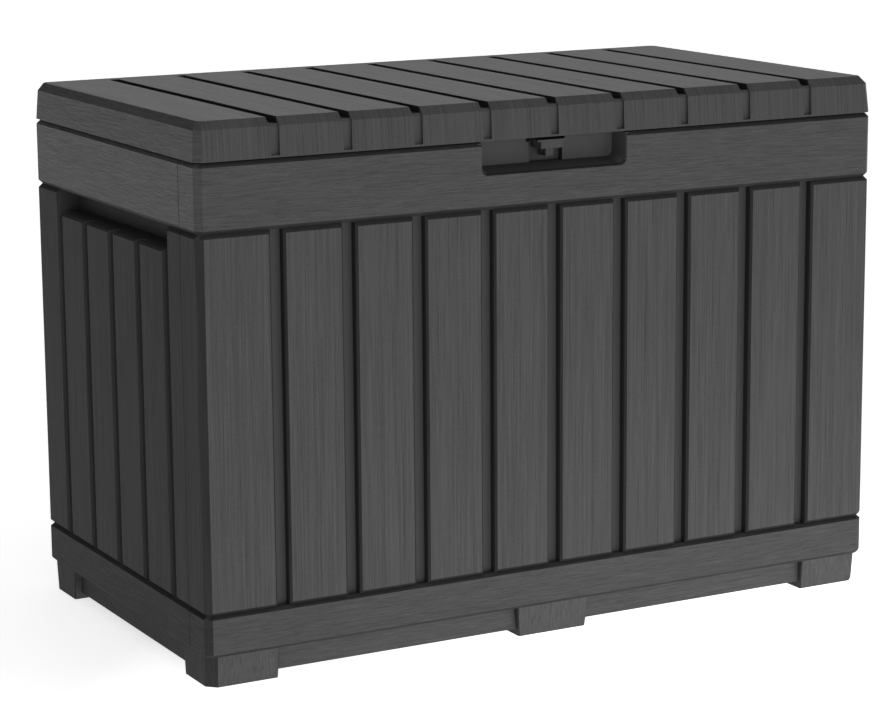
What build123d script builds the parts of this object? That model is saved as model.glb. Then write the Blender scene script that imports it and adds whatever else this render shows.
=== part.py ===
from build123d import *
import math
import os

# A deck storage box: plank-look walls on a footed base, under a hinged plank-look lid on two gas struts.
# Millimetres. X is the length, the front faces -Y, Z is up, and the origin is on the floor at the centre.

# Driving dimensions
LENGTH = 1080.0
DEPTH = 588.0
CORNER = 9.2            # leg of the 45-degree cut on each upright corner
WALL = 2.6              # moulded wall thickness
PANEL = 17.0            # depth of a wall panel, from its face to its open back
RIM = 30.0              # depth of the hollow rim at the top of the walls

# Heights of the walls
FOOT_TOP = 43.5
BAND_LOW = 48.0
BAND_TOP = 97.0
LOW_V = 101.5           # bottom of the V between band and planks
PLANK_LOW = 106.5
PLANK_TOP = 611.5
HIGH_V = 617.0          # bottom of the V between planks and rim
RIM_LOW = 622.5
RIM_EDGE = 705.0
RIM_TOP = 710.0
LIP_TOP = 721.5
V_DEPTH = 5.4
RIM_CHAMFER = 4.7
FOOT_INSET = 4.5
RIM_SHELF = (630.0, 640.0)      # where the space inside the walls narrows into the rim
POCKET_END = 3.5                # solid left above and below the hollow behind each plank

# Base
CORNER_FOOT = (104.0, 88.0)     # a corner foot's length in X and Y
CORNER_FOOT_CUT = 13.0
FOOT_TAPER = (0.6, 4.3)         # how far a foot's outer faces lean in at the floor, in X and Y
FOOT_WALL = 11.5
FOOT_CEILING = 6.0
FOOT_ROUND = 1.5                # small cut on a foot's other upright corners
MID_FOOT_HALF = 59.0
MID_FOOT_DEPTH = 60.0
PLINTH = (15.0, 18.0)           # depth of the plinth's two faces in from the outline
PLINTH_LOW = 10.0
FLOOR = 3.0
UPSTAND = (17.3, 20.3)          # depth of the base's upstand in from the outline
UPSTAND_TOP = 80.0
FLOOR_RIB_LOW = 20.0
FLOOR_RIB_HALF = 1.5
FLOOR_RIB_PITCH = (135.0, 130.0)

# Planks
FRONT_PITCH = 106.2
FRONT_GROOVE = (12.5, 9.5)      # half width at the face, half width at the floor
SIDE_PITCH = 96.8
SIDE_GROOVE = (10.15, 7.15)
GROOVE_DEPTH = 14.0
EDGE = 3.0                      # chamfer on each plank's long edges
FRONT_SEAM = -236.0             # where the front panel's wrapped corner meets the side panel
REAR_SEAM = 255.0
SIDE_CENTRE = 9.0               # middle of the side panel's plank pattern

# Lid
LID_LOW = 712.0
LID_SHOULDER = 753.6
LID_TOP = 764.6
LID_GROOVE_FLOOR = 756.0
LID_GROOVE_END = 715.0
LID_GROOVE_HALF = (6.3, 7.7)    # half width at the skirt's foot and at the top
LID_GROOVE_REAR = 266.0         # the grooves stop short of the rear edge
LINER_LOW = 722.0
LINER = 2.6

# Hand notch and padlock niche in the front rim
NOTCH_HALF = 116.5
NOTCH_LOW = 664.5
NOTCH_BACK_LOW = 675.0
NOTCH_DEPTH = 27.0
NOTCH_TAPER = 8.5
NICHE_HALF = 27.0
NICHE_DEPTH = 37.0
NICHE_TOP = 703.0
STAPLE_SLOT = (2.2, 682.8, 693.6)       # half width, low and high edge of the staple's slot in the niche
STAPLE_PLATE = 3.6
PADLOCK_R = 3.5
PADLOCK_AT = (-268.5, 688.4)            # Y and Z of the padlock hole
EAR_HALF = 6.0
FIN_HALF = 2.0
FIN_FRONT = -274.6
TONGUE_FRONT = -285.0
EAR_Y = (-278.0, -259.0)
EAR_SKIN = 2.8                          # the closed front of the slot between the ears

# Hand pockets in the side panels
POCKET_DEPTH = 34.0
POCKET_LOW = 583.0
POCKET_BACK_LOW = 586.0

# Hinges
AXIS_Y = 287.0
AXIS_Z = 711.25
HINGE_X = {"left": -371.7, "centre": 0.0, "right": 371.7}
KNUCKLE_R = 5.5
PIN_R = 2.5
HINGE_HALF = 30.0
MIDDLE_KNUCKLE = 14.4                   # half length of the moving knuckle
FIXED_KNUCKLE = 15.0                    # where the fixed knuckles start, from the hinge's middle
LEAF_Y = (280.2, 284.2)
HINGE_SEAT_LOW = 668.0
HINGE_RELIEF = 34.0                     # half length of the room cut round the knuckles
KNUCKLE_PLAY = 0.8
HINGE_SCREW_X = 20.0

# Gas struts, in the plane of each side
STRUT_X = 480.0
STRUT_LOW = (220.0, 470.0)                  # Y and Z of the pivot on the wall
STRUT_HIGH = (AXIS_Y - 120.0, AXIS_Z - 26.0)    # Y and Z of the pivot on the closed lid
STRUT_TUBE = (14.0, 190.0)                  # from and to, along the strut
STRUT_CAP = 15.0
TUBE_R = 9.0
ROD_R = 4.0
PISTON_R = 6.2
STUD_R = 4.0
EYE_HALF = 4.2

# Screws
SHANK_R = 2.0
HEAD_R = 4.0
HEAD_H = 2.6
HOLE_R = 2.05
SEAM_SCREW_LENGTH = 12.0
BASE_SCREW_LENGTH = 13.0
BASE_SCREW_Z = 64.0
LINER_SCREW_LENGTH = 16.0
LEAF_SCREW_LENGTH = 8.0
BRACKET_SCREW_LENGTH = 12.5
STAPLE_SCREW_LENGTH = 4.6
MOUNT_SCREW_LENGTH = 12.0
TONGUE_SCREW_LENGTH = 6.0

HALF_L = LENGTH / 2
HALF_D = DEPTH / 2
SIDES = {"left": -1, "right": 1}


def block(x, y, z):
    """A box from three (low, high) pairs."""
    size = [max(pair) - min(pair) for pair in (x, y, z)]
    centre = [(pair[0] + pair[1]) / 2 for pair in (x, y, z)]
    return Pos(*centre) * Box(*size)


def ring(z, inset_x, inset_y, corner, rear=None):
    """The wire of the plan outline at height z, moved in from the outer faces."""
    a = HALF_L - inset_x
    f = inset_y - HALF_D
    r = HALF_D - (inset_y if rear is None else rear)
    c = corner
    points = [(a, f + c), (a, r - c), (a - c, r), (c - a, r), (-a, r - c), (-a, f + c), (c - a, f), (a - c, f)]
    return Wire.make_polygon([(x, y, z) for x, y in points], close=True)


def stacked(levels):
    """A solid through rings given as (z, inset in X, inset in Y, corner, and maybe the rear's own inset)."""
    return Solid.make_loft([ring(*level) for level in levels], ruled=True)


def plan(side, along, inset):
    """The plan point at a place along one side and a depth in from its face."""
    if side == "front":
        return (along, inset - HALF_D)
    if side == "rear":
        return (along, HALF_D - inset)
    if side == "left":
        return (inset - HALF_L, along)
    return (HALF_L - inset, along)


def wall_block(side, along, inset, z):
    """A box placed by its stretch along a side and its depth in from that side's face."""
    x0, y0 = plan(side, along[0], inset[0])
    x1, y1 = plan(side, along[1], inset[1])
    return block((x0, x1), (y0, y1), z)


def upright(points, z0, z1):
    """A prism standing on a plan outline."""
    return extrude(make_face(Polyline(*[(x, y, z0) for x, y in points], close=True)), z1 - z0, dir=(0, 0, 1))


def lengthways(points, x0, x1):
    """A prism along X with a (y, z) outline."""
    return extrude(make_face(Polyline(*[(x0, y, z) for y, z in points], close=True)), x1 - x0, dir=(1, 0, 0))


def crossways(points, y0, y1):
    """A prism along Y with an (x, z) outline."""
    return extrude(make_face(Polyline(*[(x, y0, z) for x, z in points], close=True)), y1 - y0, dir=(0, 1, 0))


def rod(radius, start, end):
    """A round bar between two points."""
    line = Vector(*end) - Vector(*start)
    bar = Cylinder(radius, line.length, align=(Align.CENTER, Align.CENTER, Align.MIN))
    return Plane(origin=start, z_dir=line) * bar


def screw(seat, direction, length):
    """A screw whose head sits on the seat point and whose shank goes along the direction."""
    at = Vector(*seat)
    way = Vector(*direction)
    head = rod(HEAD_R, tuple(at - way * HEAD_H), seat)
    socket = rod(HEAD_R * 0.45, tuple(at - way * HEAD_H), tuple(at - way * HEAD_H * 0.4))
    shank = rod(SHANK_R, tuple(at - way * HEAD_H * 0.2), tuple(at + way * length))
    return (head - socket) + shank


def hole(seat, direction, length):
    """The hole for that screw, started just outside the seat."""
    at = Vector(*seat)
    way = Vector(*direction)
    return rod(HOLE_R, tuple(at - way * 1.0), tuple(at + way * (length + 1.0)))


# ---- walls ----

def wall_outside():
    """The whole outside of the walls, with the V grooves that part band, planks and rim."""
    levels = [
        (FOOT_TOP, FOOT_INSET), (BAND_LOW, 0), (BAND_TOP, 0), (LOW_V, V_DEPTH), (PLANK_LOW, 0),
        (PLANK_TOP, 0), (HIGH_V, V_DEPTH), (RIM_LOW, 0), (RIM_EDGE, 0), (RIM_TOP, RIM_CHAMFER),
    ]
    return stacked([(z, d, d, CORNER - 0.586 * d) for z, d in levels])


def groove(side, centre, widths):
    """One upright groove between two planks, with chamfered edges."""
    face, floor = widths
    half = [(face, -1.0), (face, 0.0), (floor, EDGE), (floor, GROOVE_DEPTH)]
    outline = [(centre - a, d) for a, d in half] + [(centre + a, d) for a, d in reversed(half)]
    return upright([plan(side, a, d) for a, d in outline], LOW_V, HIGH_V)


def front_centres():
    return [FRONT_PITCH * k for k in range(-4, 5)]


def side_centres():
    return [SIDE_CENTRE + SIDE_PITCH * k for k in range(-2, 3)]


def long_pockets(side):
    """The open-backed hollows behind a long panel's planks."""
    edge = FRONT_GROOVE[1] + WALL
    centres = front_centres()
    starts = [-HALF_L + PANEL] + [c + edge for c in centres]
    ends = [c - edge for c in centres] + [HALF_L - PANEL]
    z = (PLANK_LOW + POCKET_END, PLANK_TOP - POCKET_END)
    return [wall_block(side, (a, b), (WALL, PANEL + 1), z) for a, b in zip(starts, ends)]


def side_spans():
    """The stretches of a side panel behind its planks, between grooves and seams."""
    edge = SIDE_GROOVE[1] + WALL
    centres = side_centres()
    starts = [FRONT_SEAM + WALL] + [c + edge for c in centres]
    ends = [c - edge for c in centres] + [REAR_SEAM - WALL]
    return list(zip(starts, ends))


def wrap_span(side):
    """The stretch along a side wall that belongs to the front or rear panel's wrapped corner."""
    if side == "front":
        return (-HALF_D + PANEL, FRONT_SEAM - WALL)
    return (REAR_SEAM + WALL, HALF_D - PANEL)


def seam_screw_spots():
    """Where a screw ties each wrapped corner's flange to a side panel: seat point and direction."""
    spots = []
    for sign in SIDES.values():
        for z in (70.0, 230.0, 440.0, 665.0):
            x = sign * (HALF_L - 10.0)
            spots.append(((x, FRONT_SEAM - WALL, z), (0, 1, 0)))
            spots.append(((x, REAR_SEAM + WALL, z), (0, -1, 0)))
    return spots


def base_screw_spots():
    """Where a screw goes out through the base's upstand into a wall: side, place along it and height."""
    spots = [(side, x) for side in ("front", "rear") for x in (-430.0, -150.0, 150.0, 430.0)]
    spots += [(side, SIDE_CENTRE + y) for side in ("left", "right") for y in (-150.0, 0.0, 150.0)]
    return spots


def outward(side):
    return {"front": (0, -1, 0), "rear": (0, 1, 0), "left": (-1, 0, 0), "right": (1, 0, 0)}[side]


def base_screw_seat(side, along):
    x, y = plan(side, along, UPSTAND[1])
    return (x, y, BASE_SCREW_Z)


def wall_bosses(side):
    """The blocks behind the band that the base screws bite into."""
    blocks = []
    for spot_side, along in base_screw_spots():
        if spot_side == side:
            z = (BASE_SCREW_Z - 8, BASE_SCREW_Z + 8)
            blocks.append(wall_block(side, (along - 7, along + 7), (WALL, PANEL), z))
    return blocks


def wall_holes(sides):
    """All the screw holes in the walls on the given sides."""
    holes = [hole(seat, way, SEAM_SCREW_LENGTH) for seat, way in seam_screw_spots()]
    for side, along in base_screw_spots():
        if side in sides:
            holes.append(hole(base_screw_seat(side, along), outward(side), BASE_SCREW_LENGTH))
    return holes


def wall_core():
    """The space inside the walls: wide behind the planks, narrower inside the rim."""
    low = stacked([(0, PANEL, PANEL, 0.5), (RIM_SHELF[1], PANEL, PANEL, 0.5)])
    high = stacked([(RIM_SHELF[0], RIM, RIM, 0.5), (LIP_TOP + 1, RIM, RIM, 0.5)])
    return low + high


def rim_hollow(side, span):
    """The hollow of the rim along one side, open below its inner wall."""
    return wall_block(side, span, (WALL, RIM - 3.0), (RIM_LOW + POCKET_END, RIM_TOP - WALL))


def band_hollow(side, span):
    return wall_block(side, span, (WALL, PANEL + 1), (FOOT_TOP + WALL, BAND_TOP - POCKET_END))


def lip():
    """The rain lip that stands up inside the lid's skirt."""
    outside = stacked([(RIM_TOP - 1, 16, 16, 2), (LIP_TOP, 16, 16, 2)])
    inside = stacked([(RIM_TOP - 2, 19, 19, 1), (LIP_TOP + 1, 19, 19, 1)])
    return outside - inside


def long_panel(side, blank):
    """The front or rear wall with its wrapped corners."""
    y = (-HALF_D - 5, FRONT_SEAM) if side == "front" else (REAR_SEAM, HALF_D + 5)
    body = blank & block((-HALF_L - 5, HALF_L + 5), y, (0, LIP_TOP + 5))
    inner = HALF_L - PANEL
    wrap = wrap_span(side)
    z_plank = (PLANK_LOW + POCKET_END, PLANK_TOP - POCKET_END)
    cuts = [groove(side, c, FRONT_GROOVE) for c in front_centres()]
    cuts += long_pockets(side)
    cuts.append(band_hollow(side, (-inner, inner)))
    cuts.append(rim_hollow(side, (-HALF_L + WALL, HALF_L - WALL)) - corner_posts())
    for end in SIDES:
        cuts.append(wall_block(end, wrap, (WALL, PANEL + 1), z_plank))
        cuts.append(band_hollow(end, wrap))
        cuts.append(rim_hollow(end, wrap))
    body = body - cuts
    body = body + wall_bosses(side)
    return body - wall_holes([side])


def corner_posts():
    """The solid upright post left in each corner of the rim."""
    size = PANEL
    posts = []
    for sx in (-1, 1):
        for sy in (-1, 1):
            x = (sx * (HALF_L - size), sx * HALF_L)
            y = (sy * (HALF_D - size), sy * HALF_D)
            posts.append(block(x, y, (RIM_LOW, RIM_TOP)))
    return posts


def notch_void():
    """The hand notch: rounded lower corners, walls tapering in and a floor that rises to the back."""
    front_y = -HALF_D - 1.0
    back_y = -HALF_D + NOTCH_DEPTH
    top = LIP_TOP + 10

    def outline(y, half, low, radius):
        flat = Polyline((-half, y, low + radius), (-half, y, top), (half, y, top), (half, y, low + radius))
        corner = radius * (1 - math.sqrt(0.5))
        right = ThreePointArc((half, y, low + radius), (half - corner, y, low + corner), (half - radius, y, low))
        base = Line((half - radius, y, low), (radius - half, y, low))
        left = ThreePointArc((radius - half, y, low), (corner - half, y, low + corner), (-half, y, low + radius))
        return Wire(flat.edges() + right.edges() + base.edges() + left.edges())

    slope = (NOTCH_BACK_LOW - NOTCH_LOW) / NOTCH_DEPTH
    front = outline(front_y, NOTCH_HALF, NOTCH_LOW - slope, 10.0)
    back = outline(back_y, NOTCH_HALF - NOTCH_TAPER, NOTCH_BACK_LOW, 8.0)
    return Solid.make_loft([front, back], ruled=True)


def front_panel(blank):
    """The front wall, with the hand notch and the padlock niche in its rim."""
    body = long_panel("front", blank)
    back = -HALF_D + NOTCH_DEPTH
    house = NOTCH_HALF + 4.0
    body = body - block((-house, house), (-HALF_D + 15.5, -HALF_D + 19.5), (RIM_TOP, LIP_TOP + 1))
    body = body + block((-house, house), (-HALF_D + WALL, back + 3.0), (NOTCH_LOW - 4.5, RIM_TOP - 1))
    body = body + block((-house, house), (back, back + 3.0), (RIM_TOP - 2, LIP_TOP))
    for sign in SIDES.values():
        x = (sign * (house - 3.0), sign * house)
        body = body + block(x, (-HALF_D + 16, back + 3.0), (RIM_TOP - 2, LIP_TOP))
    niche_back = -HALF_D + NICHE_DEPTH
    frame = NICHE_HALF + WALL
    body = body + block((-frame, frame), (back, niche_back + WALL), (NOTCH_BACK_LOW - 3.5, NICHE_TOP))
    body = body - notch_void()
    body = body - block((-NICHE_HALF, NICHE_HALF), (back - 1, niche_back), (NOTCH_BACK_LOW, 705))
    body = body - block((-31, 31), (back - 2, back + 20), (NICHE_TOP, LIP_TOP + 2))
    half, low, high = STAPLE_SLOT
    body = body - block((-half, half), (niche_back - 1, niche_back + WALL + 1), (low, high))
    return body - [hole(seat, way, STAPLE_SCREW_LENGTH) for seat, way in staple_screw_spots()]


def rear_panel(blank):
    """The rear wall, with its hinge seats."""
    body = long_panel("rear", blank)
    relief = lengthways([(286, RIM_TOP), (HALF_D, RIM_TOP - 8), (300, RIM_TOP - 8), (300, 716), (286, 716)],
                        -HALF_L - 1, HALF_L + 1)
    body = body - relief
    for x in HINGE_X.values():
        span = (x - HINGE_HALF - 1, x + HINGE_HALF + 1)
        body = body + block((x - HINGE_HALF, x + HINGE_HALF), (LEAF_Y[1], HALF_D - WALL), (HINGE_SEAT_LOW, 700))
        body = body - block(span, (LEAF_Y[0] - 0.3, LEAF_Y[1] + 0.3), (700, RIM_TOP + 1))
        body = body - knuckle_room(x)
    for seat, way in bracket_screw_spots():
        body = body - hole(seat, way, BRACKET_SCREW_LENGTH)
        counterbore = (seat[0], HALF_D + 1, seat[2])
        body = body - rod(HEAD_R + 0.4, seat, counterbore)
    return body


def pocket_void(side):
    """The hand pocket above a side panel's short planks."""
    points = [(-1.0, POCKET_LOW - EDGE - 1.0), (EDGE, POCKET_LOW), (POCKET_DEPTH, POCKET_BACK_LOW),
              (POCKET_DEPTH, HIGH_V), (-1.0, HIGH_V)]
    reach = pocket_span()
    outline = [(plan(side, 0, d)[0], z) for d, z in points]
    return crossways(outline, reach[0], reach[1])


def pocket_span():
    centres = side_centres()
    return (centres[0] - SIDE_GROOVE[1], centres[-1] + SIDE_GROOVE[1])


def side_panel(side, blank):
    """A side wall between the seams, with four short planks under its hand pocket."""
    reach = (-HALF_L - 5, -250) if side == "left" else (250, HALF_L + 5)
    body = blank & block(reach, (FRONT_SEAM, REAR_SEAM), (0, LIP_TOP + 5))
    cuts = [groove(side, c, SIDE_GROOVE) for c in side_centres()]
    spans = side_spans()
    for k, span in enumerate(spans):
        short = 0 < k < len(spans) - 1
        top = POCKET_LOW - 5.6 if short else PLANK_TOP - POCKET_END
        cuts.append(wall_block(side, span, (WALL, PANEL + 1), (PLANK_LOW + POCKET_END, top)))
    whole = (FRONT_SEAM + WALL, REAR_SEAM - WALL)
    cuts.append(band_hollow(side, whole))
    cuts.append(rim_hollow(side, whole))
    body = body - cuts
    low, high = pocket_span()
    box = wall_block(side, (low - WALL, high + WALL), (4.0, POCKET_DEPTH + WALL), (POCKET_LOW - 5.6, HIGH_V + 4))
    inner = wall_block(side, (low - 20, high + 20), (PANEL - 1, POCKET_DEPTH + 5), (POCKET_LOW - 10, HIGH_V + 4))
    body = body + (box & inner)
    body = body - pocket_void(side)
    boss_y = (230, 246)
    body = body + wall_block(side, boss_y, (WALL - 0.5, PANEL), (STRUT_LOW[1] - 16, STRUT_LOW[1] + 16))
    body = body + wall_bosses(side)
    body = body - [hole(seat, way, MOUNT_SCREW_LENGTH) for seat, way in mount_screw_spots(side)]
    return body - wall_holes([side])


# ---- base ----

def foot(x, y, corner, lean):
    """A hollow foot, given by its (low, high) reach in X and Y at the top and how far each face leans in."""
    floor_x = (x[0] + lean[0], x[1] - lean[0])
    floor_y = (y[0] + lean[1], y[1] - lean[1])
    rings = [foot_ring(floor_x, floor_y, 0, corner), foot_ring(x, y, FOOT_TOP, corner)]
    solid = Solid.make_loft(rings, ruled=True)
    hollow = block((x[0] + FOOT_WALL, x[1] - FOOT_WALL), (y[0] + FOOT_WALL, y[1] - FOOT_WALL),
                   (-1, FOOT_TOP - FOOT_CEILING))
    return solid - hollow


def foot_ring(x, y, z, corner):
    """A foot's outline at one height, with a cut corner where it turns the box's corner."""
    cut = {key: corner.get(key, FOOT_ROUND) for key in ("ll", "lh", "hl", "hh")}
    x0, x1 = x
    y0, y1 = y
    points = [
        (x0 + cut["ll"], y0), (x1 - cut["hl"], y0), (x1, y0 + cut["hl"]), (x1, y1 - cut["hh"]),
        (x1 - cut["hh"], y1), (x0 + cut["lh"], y1), (x0, y1 - cut["lh"]), (x0, y0 + cut["ll"]),
    ]
    return Wire.make_polygon([(px, py, z) for px, py in points], close=True)


def base_tray():
    """The base: a floor with a recessed plinth, hollow feet, ribs below and an upstand inside the walls."""
    plate = stacked([(FOOT_TOP - FLOOR, PLINTH[0], PLINTH[0], 2), (FOOT_TOP, PLINTH[0], PLINTH[0], 2)])
    skirt = stacked([(PLINTH_LOW, PLINTH[0], PLINTH[0], 2), (FOOT_TOP, PLINTH[0], PLINTH[0], 2)])
    skirt = skirt - stacked([(0, PLINTH[1], PLINTH[1], 1), (FOOT_TOP + 1, PLINTH[1], PLINTH[1], 1)])
    outer, inner = UPSTAND
    rim = stacked([(FOOT_TOP - 1, outer, outer, 1), (UPSTAND_TOP, outer, outer, 1)])
    rim = rim - stacked([(FOOT_TOP - 2, inner, inner, 1), (UPSTAND_TOP + 1, inner, inner, 1)])
    body = plate + skirt + rim
    low_x = HALF_L - PLINTH[0] - 1
    low_y = HALF_D - PLINTH[0] - 1
    rib_z = (FLOOR_RIB_LOW, FOOT_TOP - 1)
    for k in range(-3, 4):
        x = k * FLOOR_RIB_PITCH[0]
        body = body + block((x - FLOOR_RIB_HALF, x + FLOOR_RIB_HALF), (-low_y, low_y), rib_z)
    for k in range(-1, 2):
        y = k * FLOOR_RIB_PITCH[1]
        body = body + block((-low_x, low_x), (y - FLOOR_RIB_HALF, y + FLOOR_RIB_HALF), rib_z)
    edge_x = HALF_L - FOOT_INSET
    edge_y = HALF_D - FOOT_INSET
    for sx in (-1, 1):
        for sy in (-1, 1):
            x = sorted((sx * edge_x, sx * (edge_x - CORNER_FOOT[0])))
            y = sorted((sy * edge_y, sy * (edge_y - CORNER_FOOT[1])))
            key = ("h" if sx > 0 else "l") + ("h" if sy > 0 else "l")
            body = body + foot(x, y, {key: CORNER_FOOT_CUT}, FOOT_TAPER)
    for sy in (-1, 1):
        y = sorted((sy * edge_y, sy * (edge_y - MID_FOOT_DEPTH)))
        body = body + foot((-MID_FOOT_HALF, MID_FOOT_HALF), y, {}, (FOOT_TAPER[1], FOOT_TAPER[1]))
    holes = [hole(base_screw_seat(s, a), outward(s), BASE_SCREW_LENGTH) for s, a in base_screw_spots()]
    return body - holes


# ---- lid ----

def lid_outside():
    """The lid's outside: a leaning skirt, a bevelled shoulder and a flat top, with a steeper rear."""
    return stacked([(LID_LOW, 0, 0, CORNER), (LID_SHOULDER, 3.0, 4.0, 9.0, 2.0), (LID_TOP, 11.5, 14.5, 6.0, 8.0)])


def lid_groove(x):
    """A groove from the rear of the lid's top to its front edge and down the front skirt."""
    low, high = LID_GROOVE_HALF
    top = LID_TOP + 2
    outline = [(x - low, LID_GROOVE_END), (x - high, top), (x + high, top), (x + low, LID_GROOVE_END)]
    core = stacked([(LID_LOW - 5, 0, 5.0, 2), (LID_GROOVE_FLOOR - 4.2, 0, 7.0, 2), (LID_GROOVE_FLOOR, 0, 9.2, 2)])
    return crossways(outline, -HALF_D - 1, LID_GROOVE_REAR) - core


def lid_shell():
    """The lid's outer moulding: planks, shoulders and skirt."""
    deep = stacked([(LID_LOW - 1, 3.0, 9.0, 6), (751, 6.0, 10.6, 5, 9.6), (753, 8.0, 12.0, 4, 10.5)])
    under = stacked([(LID_LOW - 1, 3.0, 3.0, 8), (752.2, 6.0, 7.0, 7, 5.2), (LID_TOP - 3, 13.0, 16.0, 5, 10.0)])
    keep = LID_GROOVE_HALF[1] + WALL
    centres = front_centres()
    starts = [-HALF_L] + [c + keep for c in centres]
    ends = [c - keep for c in centres] + [HALF_L]
    slices = [block((a, b), (-HALF_D, HALF_D), (LID_LOW - 1, LID_TOP)) for a, b in zip(starts, ends)]
    outside = lid_outside()
    body = outside - deep
    body = body - [under & s for s in slices]
    for x, y in liner_screw_spots():
        body = body + rod(5.0, (x, y, LINER_LOW + LINER), (x, y, LID_TOP - 2.5))
    for x in HINGE_X.values():
        pad = block((x - HINGE_HALF, x + HINGE_HALF), (LEAF_Y[1] + 0.5, HALF_D + 1), (719, 750))
        body = body + (pad & outside)
    body = body - [lid_groove(x) for x in centres]
    edge = lengthways([(288, LID_LOW - 1), (288, LID_LOW), (HALF_D + 1, LID_LOW + 7), (HALF_D + 1, LID_LOW - 1)],
                      -HALF_L - 1, HALF_L + 1)
    body = body - edge
    for x in HINGE_X.values():
        body = body - knuckle_room(x)
        body = body - block((x - HINGE_RELIEF, x + HINGE_RELIEF), (AXIS_Y - 9, AXIS_Y + 1), (LID_LOW - 1, 719))
    body = body - [hole((x, y, LINER_LOW), (0, 0, 1), LINER_SCREW_LENGTH) for x, y in liner_screw_spots()]
    return body - [hole(seat, way, LEAF_SCREW_LENGTH) for seat, way in leaf_screw_spots()]


def liner_screw_spots():
    columns = [FRONT_PITCH * k for k in (-4.5, -1.5, 1.5, 4.5)]
    return [(x, y) for x in columns for y in (-210.0, 0.0, 210.0)]


def lid_liner():
    """The panel that closes the lid from below, with stiffening ribs on top and shallow ribs underneath."""
    plate = stacked([(LINER_LOW, 6.0, 10.0, 5), (LINER_LOW + LINER, 6.0, 10.0, 5)])
    plate = plate & block((-HALF_L, HALF_L), (-HALF_D, 279), (LINER_LOW - 1, LINER_LOW + 10))
    top = LID_GROOVE_FLOOR - 3.2
    body = plate
    for x in front_centres():
        body = body + block((x - 1.5, x + 1.5), (-268, 262), (LINER_LOW + 1, top))
    for y in (-120.0, 120.0):
        body = body + block((-518, 518), (y - 1.5, y + 1.5), (LINER_LOW + 1, top))
    cuts = [hole((x, y, LINER_LOW), (0, 0, 1), 8.0) for x, y in liner_screw_spots()]
    cuts += [hole(seat, way, TONGUE_SCREW_LENGTH) for seat, way in tongue_screw_spots()]
    cuts += [hole(seat, way, TONGUE_SCREW_LENGTH) for seat, way in lid_bracket_screw_spots()]
    return body - cuts


# ---- hinges ----

def knuckle_room(x):
    """The room the knuckles turn in."""
    return rod(KNUCKLE_R + KNUCKLE_PLAY, (x - HINGE_RELIEF, AXIS_Y, AXIS_Z), (x + HINGE_RELIEF, AXIS_Y, AXIS_Z))


def knuckle(x0, x1, bore):
    tube = rod(KNUCKLE_R, (x0, AXIS_Y, AXIS_Z), (x1, AXIS_Y, AXIS_Z))
    return tube, rod(bore, (x0 - 1, AXIS_Y, AXIS_Z), (x1 + 1, AXIS_Y, AXIS_Z))


def hinge_bracket(x):
    """The fixed half of a hinge: two knuckles on a plate that drops inside the rear rim."""
    body = block((x - HINGE_HALF, x + HINGE_HALF), LEAF_Y, (HINGE_SEAT_LOW, AXIS_Z - 6.3))
    bores = []
    for low, high in ((-HINGE_HALF, -FIXED_KNUCKLE), (FIXED_KNUCKLE, HINGE_HALF)):
        tube, bore = knuckle(x + low, x + high, PIN_R + 0.05)
        body = body + tube
        body = body + block((x + low, x + high), LEAF_Y, (690, AXIS_Z))
        bores.append(bore)
    body = body - bores
    return body - [hole(seat, way, BRACKET_SCREW_LENGTH) for seat, way in bracket_screw_spots()]


def hinge_leaf(x):
    """The moving half of a hinge: one knuckle on a plate that rises inside the lid's rear skirt."""
    tube, bore = knuckle(x - MIDDLE_KNUCKLE, x + MIDDLE_KNUCKLE, PIN_R + 0.06)
    body = tube + block((x - MIDDLE_KNUCKLE, x + MIDDLE_KNUCKLE), LEAF_Y, (AXIS_Z, 722))
    body = body + block((x - HINGE_HALF, x + HINGE_HALF), LEAF_Y, (AXIS_Z + 7, 746))
    body = body - bore
    return body - [hole(seat, way, LEAF_SCREW_LENGTH) for seat, way in leaf_screw_spots()]


def hinge_pin(x):
    """A headed steel pin through the three knuckles."""
    shaft = rod(PIN_R, (x - HINGE_HALF - 0.4, AXIS_Y, AXIS_Z), (x + HINGE_HALF + 1.5, AXIS_Y, AXIS_Z))
    head = rod(PIN_R + 1.2, (x - HINGE_HALF - 2.2, AXIS_Y, AXIS_Z), (x - HINGE_HALF - 0.2, AXIS_Y, AXIS_Z))
    return shaft + head


def bracket_screw_spots():
    spots = []
    for x in HINGE_X.values():
        for sign in SIDES.values():
            for z in (676.0, 692.0):
                spots.append(((x + sign * HINGE_SCREW_X, HALF_D - 3.0, z), (0, -1, 0)))
    return spots


def leaf_screw_spots():
    spots = []
    for x in HINGE_X.values():
        for sign in SIDES.values():
            for z in (731.0, 741.0):
                spots.append(((x + sign * HINGE_SCREW_X, LEAF_Y[0], z), (0, 1, 0)))
    return spots


# ---- padlock point ----

def lock_tongue():
    """The T-shaped tongue under the lid's front edge: a cross plate over two ears, joined in front."""
    body = block((-17.2, 17.2), (TONGUE_FRONT, EAR_Y[1]), (694.6, 705.0))
    body = body + block((-22.5, 22.5), (TONGUE_FRONT, -246.0), (704.0, 706.8))
    body = body + block((-22.5, 22.5), (-250.0, -246.0), (704.0, LINER_LOW))
    body = body + block((-22.5, 22.5), (-250.0, -222.0), (LINER_LOW - 3.0, LINER_LOW))
    ears = block((-EAR_HALF, EAR_HALF), EAR_Y, (683.4, 695.0))
    slot = block((-FIN_HALF - 0.4, FIN_HALF + 0.4), (EAR_Y[0] + EAR_SKIN, EAR_Y[1] + 1), (680.0, 694.2))
    body = body + (ears - slot)
    bore = rod(PADLOCK_R, (-20, *PADLOCK_AT), (20, *PADLOCK_AT))
    return body - bore - [hole(seat, way, TONGUE_SCREW_LENGTH) for seat, way in tongue_screw_spots()]


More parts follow.
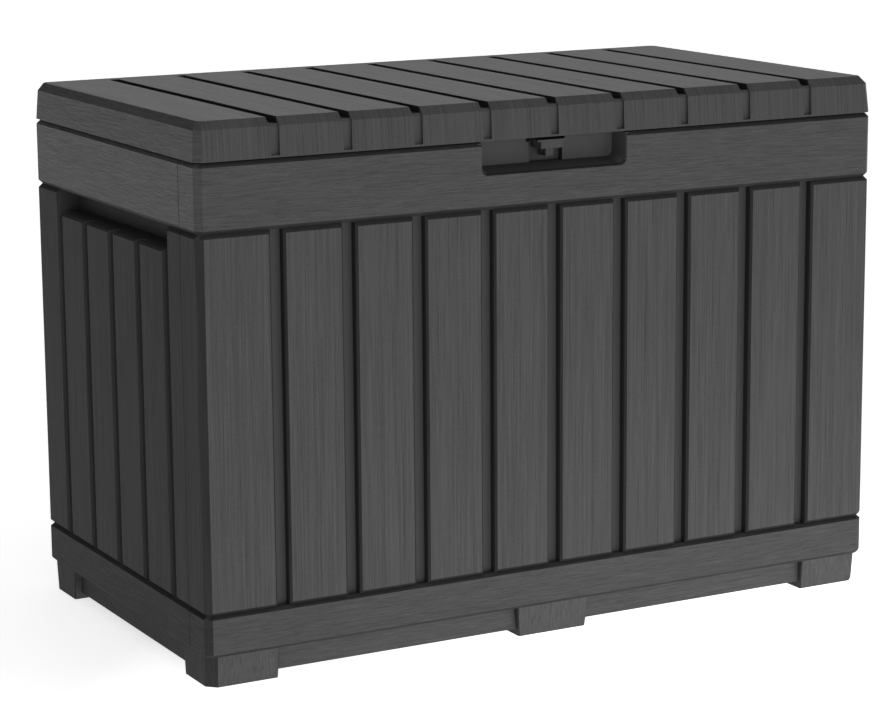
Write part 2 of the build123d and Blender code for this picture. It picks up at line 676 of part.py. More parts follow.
def lock_staple():
    """The fin that stands out of the niche between the tongue's ears, on a plate behind the wall."""
    wall = -HALF_D + NICHE_DEPTH + WALL
    body = block((-18, 18), (wall, wall + STAPLE_PLATE), (674.5, 698.0))
    body = body + block((-FIN_HALF, FIN_HALF), (FIN_FRONT, wall + 1.0), (683.2, 693.4))
    body = body - rod(PADLOCK_R, (-20, *PADLOCK_AT), (20, *PADLOCK_AT))
    return body - [hole(seat, way, STAPLE_SCREW_LENGTH) for seat, way in staple_screw_spots()]


def staple_screw_spots():
    seat_y = -HALF_D + NICHE_DEPTH + WALL + STAPLE_PLATE
    return [((x, seat_y, 687.0), (0, -1, 0)) for x in (-12.0, 12.0)]


def tongue_screw_spots():
    return [((x, -234.0, LINER_LOW - 3.0), (0, 0, 1)) for x in (-14.0, 14.0)]


# ---- gas struts ----

def strut_line():
    """Unit vector along the strut in (Y, Z), and the closed length between its pivots."""
    dy = STRUT_HIGH[0] - STRUT_LOW[0]
    dz = STRUT_HIGH[1] - STRUT_LOW[1]
    length = math.hypot(dy, dz)
    return dy / length, dz / length, length


def along_strut(sign, distance):
    uy, uz, _ = strut_line()
    return (sign * STRUT_X, STRUT_LOW[0] + uy * distance, STRUT_LOW[1] + uz * distance)


def strut_mount(sign):
    """The bracket on a side wall that carries the strut's lower stud."""
    y, z = STRUT_LOW
    inner = HALF_L - PANEL
    body = block((sign * (inner - 3), sign * inner), (206, 251), (z - 18, z + 18))
    body = body + rod(7.0, (sign * 484.5, y, z), (sign * (inner - 1), y, z))
    body = body + rod(STUD_R, (sign * 474, y, z), (sign * 486, y, z))
    body = body + rod(6.5, (sign * 473, y, z), (sign * 475.5, y, z))
    side = "right" if sign > 0 else "left"
    return body - [hole(seat, way, MOUNT_SCREW_LENGTH) for seat, way in mount_screw_spots(side)]


def mount_screw_spots(side):
    sign = SIDES[side]
    x = sign * (HALF_L - PANEL - 3)
    return [((x, 238.0, STRUT_LOW[1] + dz), (sign, 0, 0)) for dz in (-9.0, 9.0)]


def strut_cylinder(sign):
    """The strut's tube, with its lower eye and the guide that the rod runs in."""
    start, end = STRUT_TUBE
    y, z = STRUT_LOW
    eye = rod(TUBE_R, (sign * (STRUT_X - EYE_HALF), y, z), (sign * (STRUT_X + EYE_HALF), y, z))
    neck = rod(3.8, along_strut(sign, 6.0), along_strut(sign, start + 2))
    tube = rod(TUBE_R, along_strut(sign, start), along_strut(sign, end))
    body = eye + neck + tube
    body = body - rod(PISTON_R + 0.3, along_strut(sign, start + 6), along_strut(sign, end - STRUT_CAP))
    body = body - rod(ROD_R + 0.06, along_strut(sign, end - STRUT_CAP - 1), along_strut(sign, end + 1))
    return body - rod(STUD_R + 0.06, (sign * 470, y, z), (sign * 490, y, z))


def strut_rod(sign):
    """The strut's rod, with its piston inside the tube and the eye under the lid."""
    _, _, length = strut_line()
    y, z = STRUT_HIGH
    body = rod(ROD_R, along_strut(sign, 26.0), along_strut(sign, length - 5))
    body = body + rod(PISTON_R, along_strut(sign, 24.0), along_strut(sign, 31.0))
    return body + rod(8.0, (sign * (STRUT_X - EYE_HALF), y, z), (sign * (STRUT_X + EYE_HALF), y, z))


def lid_strut_bracket(sign):
    """The bracket under the lid, whose short stud meets the strut's upper eye."""
    y, z = STRUT_HIGH
    body = block((sign * 486.5, sign * 503), (y - 24, y + 24), (LINER_LOW - 3, LINER_LOW))
    ear = lengthways([(y - 16, LINER_LOW - 1), (y - 8, z - 8), (y + 8, z - 8), (y + 16, LINER_LOW - 1)], 0, 3.0)
    body = body + Pos(488.0 if sign > 0 else -491.0, 0, 0) * ear
    body = body + rod(STUD_R, (sign * (STRUT_X + EYE_HALF + 0.3), y, z), (sign * 489, y, z))
    side = "right" if sign > 0 else "left"
    spots = [spot for spot in lid_bracket_screw_spots() if (spot[0][0] > 0) == (side == "right")]
    return body - [hole(seat, way, TONGUE_SCREW_LENGTH) for seat, way in spots]


def lid_bracket_screw_spots():
    y = STRUT_HIGH[0]
    spots = []
    for sign in SIDES.values():
        for dy in (-18.0, 18.0):
            spots.append(((sign * 497.0, y + dy, LINER_LOW - 3), (0, 0, 1)))
    return spots


# ---- screws ----

def screw_group(spots, length):
    return [screw(seat, way, length) for seat, way in spots]


def base_screws():
    return [screw(base_screw_seat(s, a), outward(s), BASE_SCREW_LENGTH) for s, a in base_screw_spots()]


def write(name, parts):
    """Writes one node as a STEP file of its separate solids."""
    shapes = parts if isinstance(parts, list) else [parts]
    solids = [solid for shape in shapes for solid in shape.solids()]
    whole = solids[0] if len(solids) == 1 else Compound(children=solids)
    export_step(whole, os.path.join("parts", name + ".step"))


def main():
    os.makedirs("parts", exist_ok=True)
    blank = (wall_outside() + lip()) - wall_core()
    write("base_tray", base_tray())
    write("front_panel", front_panel(blank))
    write("rear_panel", rear_panel(blank))
    write("lid_shell", lid_shell())
    write("lid_liner", lid_liner())
    write("lock_tongue", lock_tongue())
    write("lock_staple", lock_staple())
    for side, sign in SIDES.items():
        write("side_panel_" + side, side_panel(side, blank))
        write("strut_mount_" + side, strut_mount(sign))
        write("strut_cylinder_" + side, strut_cylinder(sign))
        write("strut_rod_" + side, strut_rod(sign))
        write("lid_strut_bracket_" + side, lid_strut_bracket(sign))
    for place, x in HINGE_X.items():
        write("hinge_bracket_" + place, hinge_bracket(x))
        write("hinge_leaf_" + place, hinge_leaf(x))
        write("hinge_pin_" + place, hinge_pin(x))
    write("corner_screws", screw_group(seam_screw_spots(), SEAM_SCREW_LENGTH))
    write("base_screws", base_screws())
    write("hinge_bracket_screws", screw_group(bracket_screw_spots(), BRACKET_SCREW_LENGTH))
    write("hinge_leaf_screws", screw_group(leaf_screw_spots(), LEAF_SCREW_LENGTH))
    write("lock_staple_screws", screw_group(staple_screw_spots(), STAPLE_SCREW_LENGTH))
    write("lock_tongue_screws", screw_group(tongue_screw_spots(), TONGUE_SCREW_LENGTH))
    mounts = mount_screw_spots("left") + mount_screw_spots("right")
    write("strut_mount_screws", screw_group(mounts, MOUNT_SCREW_LENGTH))
    write("lid_strut_bracket_screws", screw_group(lid_bracket_screw_spots(), TONGUE_SCREW_LENGTH))
    write("liner_screws", screw_group([((x, y, LINER_LOW), (0, 0, 1)) for x, y in liner_screw_spots()],
                                      LINER_SCREW_LENGTH))


main()
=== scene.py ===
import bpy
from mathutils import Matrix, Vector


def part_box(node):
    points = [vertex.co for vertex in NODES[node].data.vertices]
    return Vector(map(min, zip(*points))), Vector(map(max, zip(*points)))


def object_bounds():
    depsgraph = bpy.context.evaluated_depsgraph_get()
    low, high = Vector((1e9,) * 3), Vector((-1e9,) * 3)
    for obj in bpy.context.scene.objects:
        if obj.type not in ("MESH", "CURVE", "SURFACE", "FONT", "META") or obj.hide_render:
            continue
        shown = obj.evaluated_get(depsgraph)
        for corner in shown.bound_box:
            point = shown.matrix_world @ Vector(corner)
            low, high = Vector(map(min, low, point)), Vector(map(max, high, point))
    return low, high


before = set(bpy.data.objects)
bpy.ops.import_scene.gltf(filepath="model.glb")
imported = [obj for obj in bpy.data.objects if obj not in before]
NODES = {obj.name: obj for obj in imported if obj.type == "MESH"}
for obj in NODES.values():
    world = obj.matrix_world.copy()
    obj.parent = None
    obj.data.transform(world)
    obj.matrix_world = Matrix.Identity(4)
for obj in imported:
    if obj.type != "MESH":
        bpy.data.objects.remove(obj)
cad_bounds = [list(corner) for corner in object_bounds()]

import math

import bpy
from mathutils import Matrix, Vector

# The looks of a plank-look resin deck box: moulded wood grain in matte graphite, on a pale studio floor.
# Metres, in the row frame: X is the length, the front faces -Y, Z is up, and the floor is at zero.

HALF_LENGTH = cad_bounds[1][0]
HALF_DEPTH = cad_bounds[1][1]

# Heights where the walls' grain turns, in the V grooves under and over the planks
LOW_V = 0.1015
HIGH_V = 0.617
SKIN = 0.0042                   # surfaces deeper than this behind a wall's face are plain
RIM_BEVEL_DEPTH = 0.006         # a wall's upward bevels are no deeper than this
NOTCH_LOW = 0.664               # the hand notch is above this
NOTCH_DEPTH = 0.003             # and deeper than this behind the face
NOTCH_BACK = 0.5                # what faces the front more than this is the notch's back
FRONT_SEAM = -0.236             # the joint between a wrapped corner and a side panel, on Y
SEAM_HALF = 0.0011

# How far a face leans towards an axis, from 0 to 1, before it counts as facing that way
LEANING = 0.4
FACING = 0.6

# The layers of the moulded grain: streaks, fibres and broad figure. Each has its repeats per metre across and
# along the grain, first the first way the grain runs and then the second, its noise's detail and roughness, and
# how much it adds.
GRAIN_LAYERS = (
    ((430.0, 5.0), (470.0, 20.0), 2.5, 0.6, 0.42),
    ((820.0, 14.0), (900.0, 60.0), 1.5, 0.5, 0.26),
    ((75.0, 3.0), (80.0, 6.0), 2.0, 0.5, 0.12),
)
SPECKLE = 620.0                 # repeats per metre every way
SPECKLE_SHARE = 0.20
WANDER = 0.0012                 # how far the grain strays from straight
WANDER_SCALE = 5.0
PEBBLE = 1500.0                 # the fine moulded texture of the plain places
PEBBLE_SHARE = 0.12
CLOUD = 3.5                     # broad patches a shade lighter and darker
CLOUD_RANGE = (0.95, 0.10)      # the darkest, and how much lighter the lightest is

# Resin
GRAPHITE = (0.056, 0.056, 0.056)
RESIN_SPECULAR = 0.25
LOWER_END_PAINTED_SHADE = 0.41          # painted shade: the ends below the rim, and the base's ends, are painted darker
SMOOTH_TONE = 1.03
FOOT_PAINTED_LIGHT = 1.15                # painted light: the feet and plinth are painted lighter in front and behind
UNDERSIDE_PAINTED_SHADE = 0.35           # painted shade on faces turned down, in the V grooves
BEVEL_PAINTED_SHADE = 0.5                # painted shade on faces turned up, on the front and rear walls
# painted shade in the hand notch
NOTCH_PAINTED_SHADE = 0.7
# painted shade along the seams on the ends
SEAM_PAINTED_SHADE = 0.3
LID_GROOVE_PAINTED_SHADE = 0.3               # painted shade in the grooves of the lid's top
GRAIN_TONE = 2.55               # how strongly the grain shows in the colour
GRAIN_RELIEF = 0.0013
ROUGHNESS = 0.52
GRAIN_GLOSS = 0.25              # how much smoother the high grain is
DARK_MATTE = 0.33               # how much rougher the places painted darker as shade are


# ---- shader nodes ----

class Shader:
    """Short ways to build one material."""

    def __init__(self, name):
        self.material = bpy.data.materials.new(name)
        self.material.use_nodes = True
        self.tree = self.material.node_tree
        self.tree.nodes.clear()
        self.coordinates = self.add("ShaderNodeTexCoord")
        self.place = self.split(self.coordinates.outputs["Object"])
        self.facing = self.split(self.coordinates.outputs["Normal"])

    def add(self, kind, **settings):
        node = self.tree.nodes.new(kind)
        for name, value in settings.items():
            setattr(node, name, value)
        return node

    def feed(self, socket, value):
        if isinstance(value, bpy.types.NodeSocket):
            self.tree.links.new(value, socket)
        else:
            socket.default_value = value

    def split(self, vector):
        node = self.add("ShaderNodeSeparateXYZ")
        self.feed(node.inputs[0], vector)
        return list(node.outputs)

    def join(self, x, y, z):
        node = self.add("ShaderNodeCombineXYZ")
        for socket, value in zip(node.inputs, (x, y, z)):
            self.feed(socket, value)
        return node.outputs[0]

    def stretched(self, place, scale):
        """A place with each of its axes scaled by its own number."""
        return self.join(*[self.sum("MULTIPLY", axis, size) for axis, size in zip(place, scale)])

    def sum(self, operation, *values, clamp=False):
        node = self.add("ShaderNodeMath", operation=operation, use_clamp=clamp)
        for socket, value in zip(node.inputs, values):
            self.feed(socket, value)
        return node.outputs[0]

    def vector(self, operation, a, b):
        node = self.add("ShaderNodeVectorMath", operation=operation)
        self.feed(node.inputs[0], a)
        self.feed(node.inputs["Scale"] if operation == "SCALE" else node.inputs[1], b)
        return node.outputs[0]

    def size(self, value):
        return self.sum("ABSOLUTE", value)

    def above(self, value, edge):
        return self.sum("GREATER_THAN", value, edge)

    def below(self, value, edge):
        return self.sum("LESS_THAN", value, edge)

    def ranged(self, value, low, rise):
        """A number that starts at low and grows by rise as value goes from 0 to 1."""
        return self.sum("MULTIPLY_ADD", value, rise, low)

    def both(self, a, b):
        return self.sum("MINIMUM", a, b)

    def either(self, a, b):
        return self.sum("MAXIMUM", a, b)

    def opposite(self, a):
        return self.sum("SUBTRACT", 1.0, a)

    def between(self, share, low, high):
        """A number from low to high as share goes from 0 to 1."""
        node = self.add("ShaderNodeMix", data_type="FLOAT")
        self.feed(node.inputs[0], share)
        self.feed(node.inputs[2], low)
        self.feed(node.inputs[3], high)
        return node.outputs[0]

    def blend_vectors(self, share, a, b):
        node = self.add("ShaderNodeMix", data_type="VECTOR")
        self.feed(node.inputs[0], share)
        self.feed(node.inputs[4], a)
        self.feed(node.inputs[5], b)
        return node.outputs[1]

    def noise(self, vector, scale=1.0, detail=2.0, roughness=0.5, colour=False):
        node = self.add("ShaderNodeTexNoise")
        self.feed(node.inputs["Vector"], vector)
        self.feed(node.inputs["Scale"], scale)
        self.feed(node.inputs["Detail"], detail)
        self.feed(node.inputs["Roughness"], roughness)
        return node.outputs["Color" if colour else 0]

    def tinted(self, colour, factor):
        """A fixed colour times a factor."""
        node = self.add("ShaderNodeVectorMath", operation="SCALE")
        node.inputs[0].default_value = colour
        self.feed(node.inputs["Scale"], factor)
        return node.outputs[0]

    def finish(self, colour, roughness, height=None, relief=0.0, **settings):
        """The surface shader, with its bump from a height and its other settings."""
        surface = self.add("ShaderNodeBsdfPrincipled")
        self.feed(surface.inputs["Base Color"], colour)
        self.feed(surface.inputs["Roughness"], roughness)
        for name, value in settings.items():
            self.feed(surface.inputs[name.replace("_", " ")], value)
        if height is not None:
            bump = self.add("ShaderNodeBump")
            bump.inputs["Strength"].default_value = 1.0
            bump.inputs["Distance"].default_value = relief
            self.feed(bump.inputs["Height"], height)
            self.tree.links.new(bump.outputs[0], surface.inputs["Normal"])
        output = self.add("ShaderNodeOutputMaterial")
        self.tree.links.new(surface.outputs[0], output.inputs[0])
        return self.material


def wandering(shader):
    """The place on the piece, strayed a little, so that no grain line is dead straight."""
    place = shader.coordinates.outputs["Object"]
    stray = shader.vector("SUBTRACT", shader.noise(place, WANDER_SCALE, 1.0, colour=True), (0.5, 0.5, 0.5))
    return shader.split(shader.vector("ADD", place, shader.vector("SCALE", stray, WANDER)))


def grain_scale(kind, across, along):
    """Repeats per metre along X, Y and Z for a way the grain runs."""
    return {
        "upright": (across, across, along),
        "level": (along, along, across),
        "front to back": (across, along, along),
    }[kind]


def grain_layer(shader, place, first, second, share, repeats, detail, roughness):
    """One layer of grain that runs the first way where share is 0 and the second where it is 1."""
    vectors = []
    for kind, size in zip((first, second), repeats):
        vectors.append(shader.stretched(place, grain_scale(kind, *size)))
    return shader.noise(shader.blend_vectors(share, *vectors), 1.0, detail, roughness)


def wood_grain(shader, first, second, share):
    """The layers of grain and the speckle, as a height around 0."""
    place = wandering(shader)
    way = share(shader)
    speckle = shader.noise(shader.coordinates.outputs["Object"], SPECKLE, 1.0)
    wood = shader.sum("MULTIPLY_ADD", speckle, SPECKLE_SHARE, -0.5)
    for *repeats, detail, roughness, part in GRAIN_LAYERS:
        layer = grain_layer(shader, place, first, second, way, repeats, detail, roughness)
        wood = shader.sum("MULTIPLY_ADD", layer, part, wood)
    return wood


def grained_resin(name, first, second, share, plain, painted_tone_here):
    """Graphite resin with moulded wood grain. The last three are functions of the shader: the share of the
    second way, the plain places and the painted light and shade there."""
    shader = Shader(name)
    place = shader.coordinates.outputs["Object"]
    smooth = plain(shader)
    pebble = shader.sum("SUBTRACT", shader.noise(place, PEBBLE, 1.0), 0.5)
    height = shader.between(smooth, wood_grain(shader, first, second, share),
                            shader.sum("MULTIPLY", pebble, PEBBLE_SHARE))
    cloud = shader.ranged(shader.noise(place, CLOUD, 2.0), *CLOUD_RANGE)
    smooth_tone = shader.between(smooth, 1.0, SMOOTH_TONE)
    # the painted light and shade of the piece scale its colour, and where it is painted darker it is also
    # rougher
    painted_factor = painted_tone_here(shader)
    tone = shader.ranged(height, 1.0, GRAIN_TONE)
    for factor in (cloud, smooth_tone, painted_factor):
        tone = shader.sum("MULTIPLY", tone, factor)
    painted_darkness = shader.opposite(shader.both(painted_factor, 1.0))
    roughness = shader.ranged(height, ROUGHNESS, -GRAIN_GLOSS)
    roughness = shader.sum("MULTIPLY_ADD", painted_darkness, DARK_MATTE, roughness)
    return shader.finish(shader.tinted(GRAPHITE, tone), roughness, height, GRAIN_RELIEF,
                         Specular_IOR_Level=RESIN_SPECULAR)


def distances_in(shader):
    """How far a place is behind the box's end and behind its front or rear face."""
    x, y, z = shader.place
    behind_end = shader.sum("SUBTRACT", HALF_LENGTH, shader.size(x))
    behind_face = shader.sum("SUBTRACT", HALF_DEPTH, shader.size(y))
    return behind_end, behind_face


def depth_in(shader):
    """How far a place is behind the nearest upright outer face."""
    return shader.both(*distances_in(shader))


def end_facing(shader):
    return shader.above(shader.size(shader.facing[0]), FACING)


def wall_level(shader):
    z = shader.place[2]
    return shader.either(shader.below(z, LOW_V), shader.above(z, HIGH_V))


def wall_plain(shader):
    return shader.above(depth_in(shader), SKIN)


def wall_painted_shade(shader):
    """Painted shade: darker on the ends below the rim, in the V grooves, on bevels, in the notch and at the
    seams.
    """
    x, y, z = shader.place
    up = shader.facing[2]
    depth = depth_in(shader)
    at_end = shader.below(*distances_in(shader))
    facing_end = end_facing(shader)
    # painted shade: the ends below the rim are painted darker
    shaded_lower_end = shader.both(facing_end, shader.below(z, HIGH_V))
    # painted shade on faces turned down
    under = shader.below(up, -LEANING)
    # painted shade on the front and rear walls' upward bevels
    bevel = shader.both(shader.above(up, LEANING), shader.below(depth, RIM_BEVEL_DEPTH))
    over = shader.both(bevel, shader.opposite(at_end))
    # painted shade in the hand notch, on all but its back
    deep = shader.both(shader.above(z, NOTCH_LOW), shader.above(depth, NOTCH_DEPTH))
    recess = shader.both(deep, shader.below(shader.size(shader.facing[1]), NOTCH_BACK))
    # painted shade along the seam between a wrapped corner and a side panel
    at_seam = shader.below(shader.size(shader.sum("SUBTRACT", y, FRONT_SEAM)), SEAM_HALF)
    shaded_seam = shader.both(at_seam, facing_end)
    tone = shader.between(shaded_lower_end, 1.0, LOWER_END_PAINTED_SHADE)
    painted_shades = ((under, UNDERSIDE_PAINTED_SHADE), (over, BEVEL_PAINTED_SHADE), (recess, NOTCH_PAINTED_SHADE), (shaded_seam, SEAM_PAINTED_SHADE))
    for mask, factor in painted_shades:
        tone = shader.sum("MULTIPLY", tone, shader.between(mask, 1.0, factor))
    return tone


def wall_resin():
    """Planks with upright grain between a band and a rim whose grain is level."""
    return grained_resin("wall_resin", "upright", "level", wall_level, wall_plain, wall_painted_shade)


LID_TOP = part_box("lid_shell")[1].z
PLANK_PITCH = 0.1062
OUTER_LIMIT = PLANK_PITCH * 4.5  # between the outermost groove, four from the middle, and the lid's end
LID_GROOVE_HALF = 0.0079        # half the width of a groove in the lid, and a little over
LID_GROOVE_FLOOR = 0.0105       # the grooves' depth below the top, and a little over
LID_GROOVE_FRONT = 0.013        # the grooves' top part starts this far behind the face
LID_SHOULDER = 0.013            # the shoulders end this far below the top
LID_EDGE = 0.0006               # the top's own surface is within this
LID_WALL = 0.009                # surfaces deeper than this behind the face are inside the lid
LID_SKIN = 0.0048               # the skirt's lean and thickness, less than a groove's depth
SKIRT_GROOVE_TOP = 0.0085       # the skirt's part of a groove starts this far below the top


def in_lid_groove(shader):
    """Within a groove's width along X."""
    x, y, z = shader.place
    nearest = shader.sum("MULTIPLY", shader.sum("ROUND", shader.sum("DIVIDE", x, PLANK_PITCH)), PLANK_PITCH)
    across = shader.below(shader.size(shader.sum("SUBTRACT", x, nearest)), LID_GROOVE_HALF)
    inner = shader.below(shader.size(nearest), OUTER_LIMIT)
    return shader.both(across, inner)


def lid_top_groove(shader):
    """The walls and floors of the grooves in the lid's top."""
    x, y, z = shader.place
    sunk = shader.both(shader.below(z, LID_TOP - LID_EDGE), shader.above(z, LID_TOP - LID_GROOVE_FLOOR))
    back = shader.above(y, LID_GROOVE_FRONT - HALF_DEPTH)
    return shader.both(in_lid_groove(shader), shader.both(sunk, back))


def lid_plain(shader):
    """The grooves, and all that is inside the lid."""
    x, y, z = shader.place
    depth = depth_in(shader)
    inner = shader.both(shader.below(z, LID_TOP - LID_SHOULDER), shader.above(depth, LID_WALL))
    skirt = shader.both(in_lid_groove(shader), shader.above(depth, LID_SKIN))
    skirt = shader.both(skirt, shader.below(z, LID_TOP - SKIRT_GROOVE_TOP))
    return shader.either(shader.either(inner, skirt), lid_top_groove(shader))


def lid_painted_groove_shade(shader):
    # painted shade: the lid's top grooves are painted darker; the mask has no rear limit, so it also darkens
    # short marks on the rear shoulder
    return shader.between(lid_top_groove(shader), 1.0, LID_GROOVE_PAINTED_SHADE)


def lid_resin():
    """Planks whose grain runs front to back and down the skirts, with level grain on the end skirts."""
    return grained_resin("lid_resin", "front to back", "level", end_facing, lid_plain, lid_painted_groove_shade)


FOOT_LONG = 0.104
FOOT_DEEP = 0.088
MID_FOOT_HALF = 0.059
MID_FOOT_DEPTH = 0.060
FOOT_ROOM = 0.002               # the feet's upright grain reaches this far past their edges
BASE_WALL = 0.0185              # surfaces deeper than this behind the face are plain


def plinth(shader):
    """The recessed skirt between the feet."""
    x, y, z = shader.place
    far_x = shader.above(shader.size(x), HALF_LENGTH - FOOT_LONG - FOOT_ROOM)
    far_y = shader.above(shader.size(y), HALF_DEPTH - FOOT_DEEP - FOOT_ROOM)
    middle = shader.both(shader.below(shader.size(x), MID_FOOT_HALF + FOOT_ROOM),
                         shader.above(shader.size(y), HALF_DEPTH - MID_FOOT_DEPTH - FOOT_ROOM))
    return shader.opposite(shader.either(shader.both(far_x, far_y), middle))


def base_plain(shader):
    return shader.above(depth_in(shader), BASE_WALL)


def base_painted_light_and_shade(shader):
    # painted light and shade: faces other than the ends are painted lighter, the ends darker
    return shader.between(end_facing(shader), FOOT_PAINTED_LIGHT, LOWER_END_PAINTED_SHADE)


def base_resin():
    """Feet with upright grain, and a plinth with level grain."""
    return grained_resin("base_resin", "upright", "level", plinth, base_plain, base_painted_light_and_shade)


BRUSH_RELIEF = 0.00004
PEEL_RELIEF = 0.00008


def plain_resin(name, tone, pebble_scale, relief):
    """Ungrained graphite resin with a fine moulded texture."""
    shader = Shader(name)
    place = shader.coordinates.outputs["Object"]
    pebble = shader.noise(place, pebble_scale, 2.0)
    cloud = shader.noise(place, 12.0, 2.0)
    shade = shader.sum("MULTIPLY", shader.ranged(pebble, 0.85, 0.3), shader.ranged(cloud, 0.9 * tone, 0.2))
    roughness = shader.ranged(cloud, 0.46, 0.12)
    return shader.finish(shader.tinted(GRAPHITE, shade), roughness, pebble, relief,
                         Specular_IOR_Level=RESIN_SPECULAR)


def bare_metal(name, colour, roughness, brush):
    """Plated or polished metal with fine lines. Brush is their repeats per metre along X, Y and Z."""
    shader = Shader(name)
    lines = shader.noise(shader.stretched(shader.place, brush), 1.0, 2.0)
    stain = shader.noise(shader.coordinates.outputs["Object"], 90.0, 3.0)
    tone = shader.sum("MULTIPLY", shader.ranged(lines, 0.92, 0.16), shader.ranged(stain, 0.88, 0.24))
    rough = shader.ranged(stain, roughness - 0.07, 0.14)
    return shader.finish(shader.tinted(colour, tone), rough, lines, BRUSH_RELIEF, Metallic=1.0)


def painted_steel(name, colour, roughness, orange_peel):
    """Powder coat or satin paint with orange peel."""
    shader = Shader(name)
    place = shader.coordinates.outputs["Object"]
    peel = shader.noise(place, orange_peel, 2.0)
    cloud = shader.noise(place, 25.0, 2.0)
    tone = shader.ranged(cloud, 0.85, 0.3)
    rough = shader.ranged(peel, roughness - 0.05, 0.1)
    return shader.finish(shader.tinted(colour, tone), rough, peel, PEEL_RELIEF)


# ---- the CAD pieces: softened edges and their materials ----

MOULDED_EDGE = 0.0009           # how far the large mouldings' edges are rounded
SIDES = ("left", "right")
HINGES = ("left", "centre", "right")
SEAM_REACH = 0.00001            # points closer than this are one
FLAT_DEGREES = 0.5
EDGE_DEGREES = 24


def soften(node, width):
    """Rounds a moulding's edges, on its mesh with flat faces made whole."""
    piece = NODES[node]
    weld = piece.modifiers.new("Join seams", "WELD")
    weld.merge_threshold = SEAM_REACH
    flat = piece.modifiers.new("Whole faces", "DECIMATE")
    flat.decimate_type = "DISSOLVE"
    flat.angle_limit = math.radians(FLAT_DEGREES)
    edges = piece.modifiers.new("Rounded edges", "BEVEL")
    edges.width = width
    edges.segments = 3
    edges.limit_method = "ANGLE"
    edges.angle_limit = math.radians(EDGE_DEGREES)
    edges.harden_normals = True


def finish_node(node, material):
    piece = NODES[node]
    piece.data.materials.clear()
    piece.data.materials.append(material)


def finish_softened(nodes, material, width):
    for node in nodes:
        finish_node(node, material)
        soften(node, width)


def at_each(names, places):
    """Every name with every place after it."""
    return [f"{name}_{place}" for name in names for place in places]


def finish_mouldings():
    walls = ("front_panel", "rear_panel", "side_panel_left", "side_panel_right")
    finish_softened(walls, wall_resin(), MOULDED_EDGE)
    finish_softened(("lid_shell",), lid_resin(), MOULDED_EDGE)
    finish_softened(("base_tray",), base_resin(), MOULDED_EDGE)
    finish_softened(("lock_tongue", "lock_staple"), plain_resin("latch_resin", 0.95, 900.0, 0.0002), 0.0006)
    finish_softened(("lid_liner",), plain_resin("liner_resin", 0.8, 500.0, 0.0004), 0.0007)


def finish_hinges():
    hinge = plain_resin("hinge_resin", 0.8, 900.0, 0.0002)
    finish_softened(at_each(("hinge_bracket", "hinge_leaf"), HINGES), hinge, 0.0005)
    pins = bare_metal("zinc_pin", (0.62, 0.62, 0.63), 0.32, (30.0, 900.0, 900.0))
    for node in at_each(("hinge_pin",), HINGES):
        finish_node(node, pins)


def finish_screws():
    screws = bare_metal("zinc_screw", (0.56, 0.56, 0.57), 0.36, (500.0, 500.0, 500.0))
    for node in NODES:
        if node.endswith("_screws"):
            finish_node(node, screws)


def finish_struts():
    coat = painted_steel("black_powder_coat", (0.022, 0.022, 0.024), 0.5, 700.0)
    tube = painted_steel("satin_black_paint", (0.014, 0.014, 0.015), 0.3, 500.0)
    chrome = bare_metal("hard_chrome", (0.75, 0.75, 0.76), 0.12, (900.0, 900.0, 60.0))
    finish_softened(at_each(("strut_mount", "lid_strut_bracket"), SIDES), coat, 0.0004)
    for side in SIDES:
        finish_node("strut_cylinder_" + side, tube)
        finish_node("strut_rod_" + side, chrome)


# ---- studio ----

FLOOR_HALF = 60.0
FLOOR_GLOW = 0.70               # the floor is a light table, as in a product studio
POOL = (0.55, -0.65)            # a painted pool of light: the floor glows brightest here, in front of the box
PAINTED_POOL_GLOW = 1.5
POOL_FALL = (0.4, 1.0)          # how fast it fades along X and Y
POOL_REACH = 1.2
WORLD_GLOW = 0.05               # light from the surroundings, which look white themselves


def floor():
    """A plain pale floor under the box, glowing as a light table, with a painted pool of light in front of it.
    """
    mesh = bpy.data.meshes.new("studio_floor")
    corners = [(FLOOR_HALF * x, FLOOR_HALF * y, 0) for x, y in ((-1, -1), (1, -1), (1, 1), (-1, 1))]
    mesh.from_pydata(corners, [], [(0, 1, 2, 3)])
    piece = bpy.data.objects.new("studio_floor", mesh)
    bpy.context.scene.collection.objects.link(piece)
    shader = Shader("pale_floor")
    cloud = shader.noise(shader.coordinates.outputs["Object"], 2.0, 2.0)
    shade = shader.ranged(cloud, 0.995, 0.01)
    x, y, z = shader.place
    spread = []
    for value, middle, fall in zip((x, y), POOL, POOL_FALL):
        squared = shader.sum("POWER", shader.sum("SUBTRACT", value, middle), 2.0)
        spread.append(shader.sum("MULTIPLY", squared, fall))
    # painted pool of light: the floor glows brighter towards the pool's middle
    near = shader.sum("MULTIPLY_ADD", shader.sum("ADD", *spread), -POOL_REACH, 1.0, clamp=True)
    glow = shader.between(near, FLOOR_GLOW, PAINTED_POOL_GLOW)
    mesh.materials.append(shader.finish(shader.tinted((0.86, 0.86, 0.86), shade), 0.9,
                                        Emission_Color=(1, 1, 1, 1), Emission_Strength=glow))


SUN_DISTANCE = 5


def sun(name, azimuth, elevation, strength, spread):
    """A broad distant light. Azimuth 0 is in front of the box and 90 is at its right."""
    lamp = bpy.data.lights.new(name, "SUN")
    lamp.energy = strength
    lamp.angle = math.radians(spread)
    piece = bpy.data.objects.new(name, lamp)
    a = math.radians(azimuth)
    e = math.radians(elevation)
    towards = Vector((math.sin(a) * math.cos(e), -math.cos(a) * math.cos(e), math.sin(e)))
    piece.rotation_mode = "QUATERNION"
    piece.rotation_quaternion = towards.to_track_quat("Z", "Y")
    piece.location = towards * SUN_DISTANCE
    bpy.context.scene.collection.objects.link(piece)


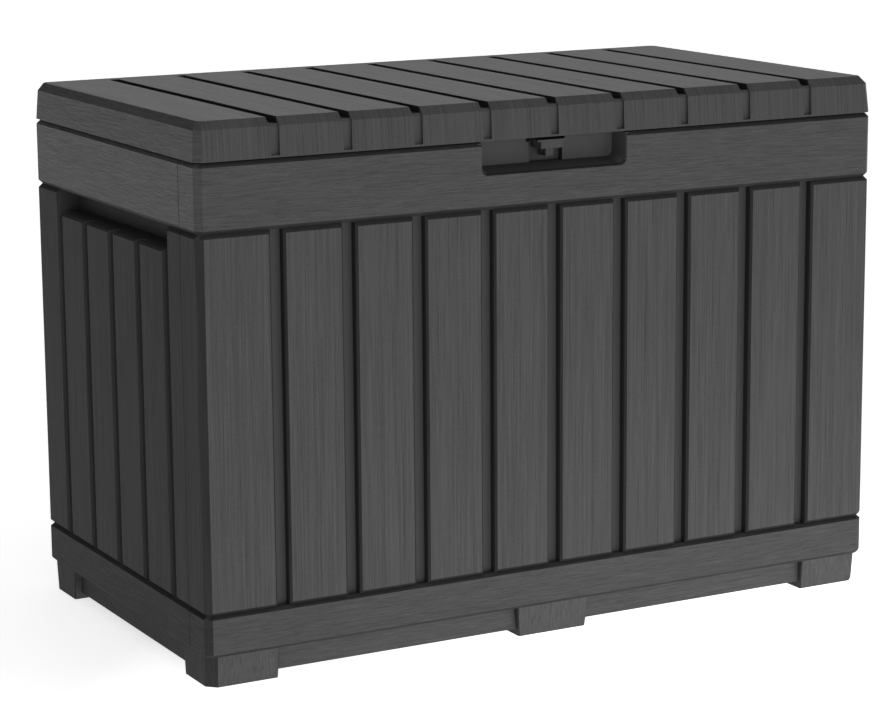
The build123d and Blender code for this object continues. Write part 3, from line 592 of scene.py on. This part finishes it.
def studio_light():
    sun("overhead_softbox", 20, 78, 0.9, 70)
    sun("low_back_softbox", 152, 11, 0.42, 40)
    sun("low_front_softbox", 0, 4, 0.7, 30)
    sun("low_right_softbox", 50, 6, 0.5, 40)
    sun("left_softbox", -85, 22, 0.22, 40)
    world = bpy.data.worlds.new("studio")
    bpy.context.scene.world = world
    world.use_nodes = True
    tree = world.node_tree
    tree.nodes.clear()
    backgrounds = []
    for strength in (WORLD_GLOW, 1.0):
        background = tree.nodes.new("ShaderNodeBackground")
        background.inputs["Color"].default_value = (1, 1, 1, 1)
        background.inputs["Strength"].default_value = strength
        backgrounds.append(background)
    path = tree.nodes.new("ShaderNodeLightPath")
    either = tree.nodes.new("ShaderNodeMixShader")
    output = tree.nodes.new("ShaderNodeOutputWorld")
    tree.links.new(path.outputs["Is Camera Ray"], either.inputs[0])
    for background, socket in zip(backgrounds, either.inputs[1:]):
        tree.links.new(background.outputs[0], socket)
    tree.links.new(either.outputs[0], output.inputs[0])
    bpy.context.scene.view_settings.view_transform = "Standard"


CAMERA_PLACE = (-2.0009, -3.6666, 1.2036)
CAMERA_AZIMUTH = math.radians(-28.434)
CAMERA_ELEVATION = math.radians(11.523)
CAMERA_ROLL = -0.007529
CAMERA_LENS = 115.44            # millimetres, on a 36 mm sensor


def camera():
    """The photograph's view: from the front left and a little above."""
    level = Vector((math.sin(CAMERA_AZIMUTH), -math.cos(CAMERA_AZIMUTH), 0)) * math.cos(CAMERA_ELEVATION)
    back = level + Vector((0, 0, math.sin(CAMERA_ELEVATION)))
    right = Vector((math.cos(CAMERA_AZIMUTH), math.sin(CAMERA_AZIMUTH), 0))
    up = back.cross(right)
    turned_right = right * math.cos(CAMERA_ROLL) + up * math.sin(CAMERA_ROLL)
    turned_up = up * math.cos(CAMERA_ROLL) - right * math.sin(CAMERA_ROLL)
    data = bpy.data.cameras.new("camera")
    data.sensor_width = 36.0
    data.lens = CAMERA_LENS
    data.clip_start = 0.1
    data.clip_end = 200.0
    piece = bpy.data.objects.new("camera", data)
    bpy.context.scene.collection.objects.link(piece)
    basis = Matrix((turned_right, turned_up, back)).transposed().to_4x4()
    piece.matrix_world = Matrix.Translation(CAMERA_PLACE) @ basis
    bpy.context.scene.camera = piece


finish_mouldings()
finish_hinges()
finish_screws()
finish_struts()
floor()
studio_light()
camera()
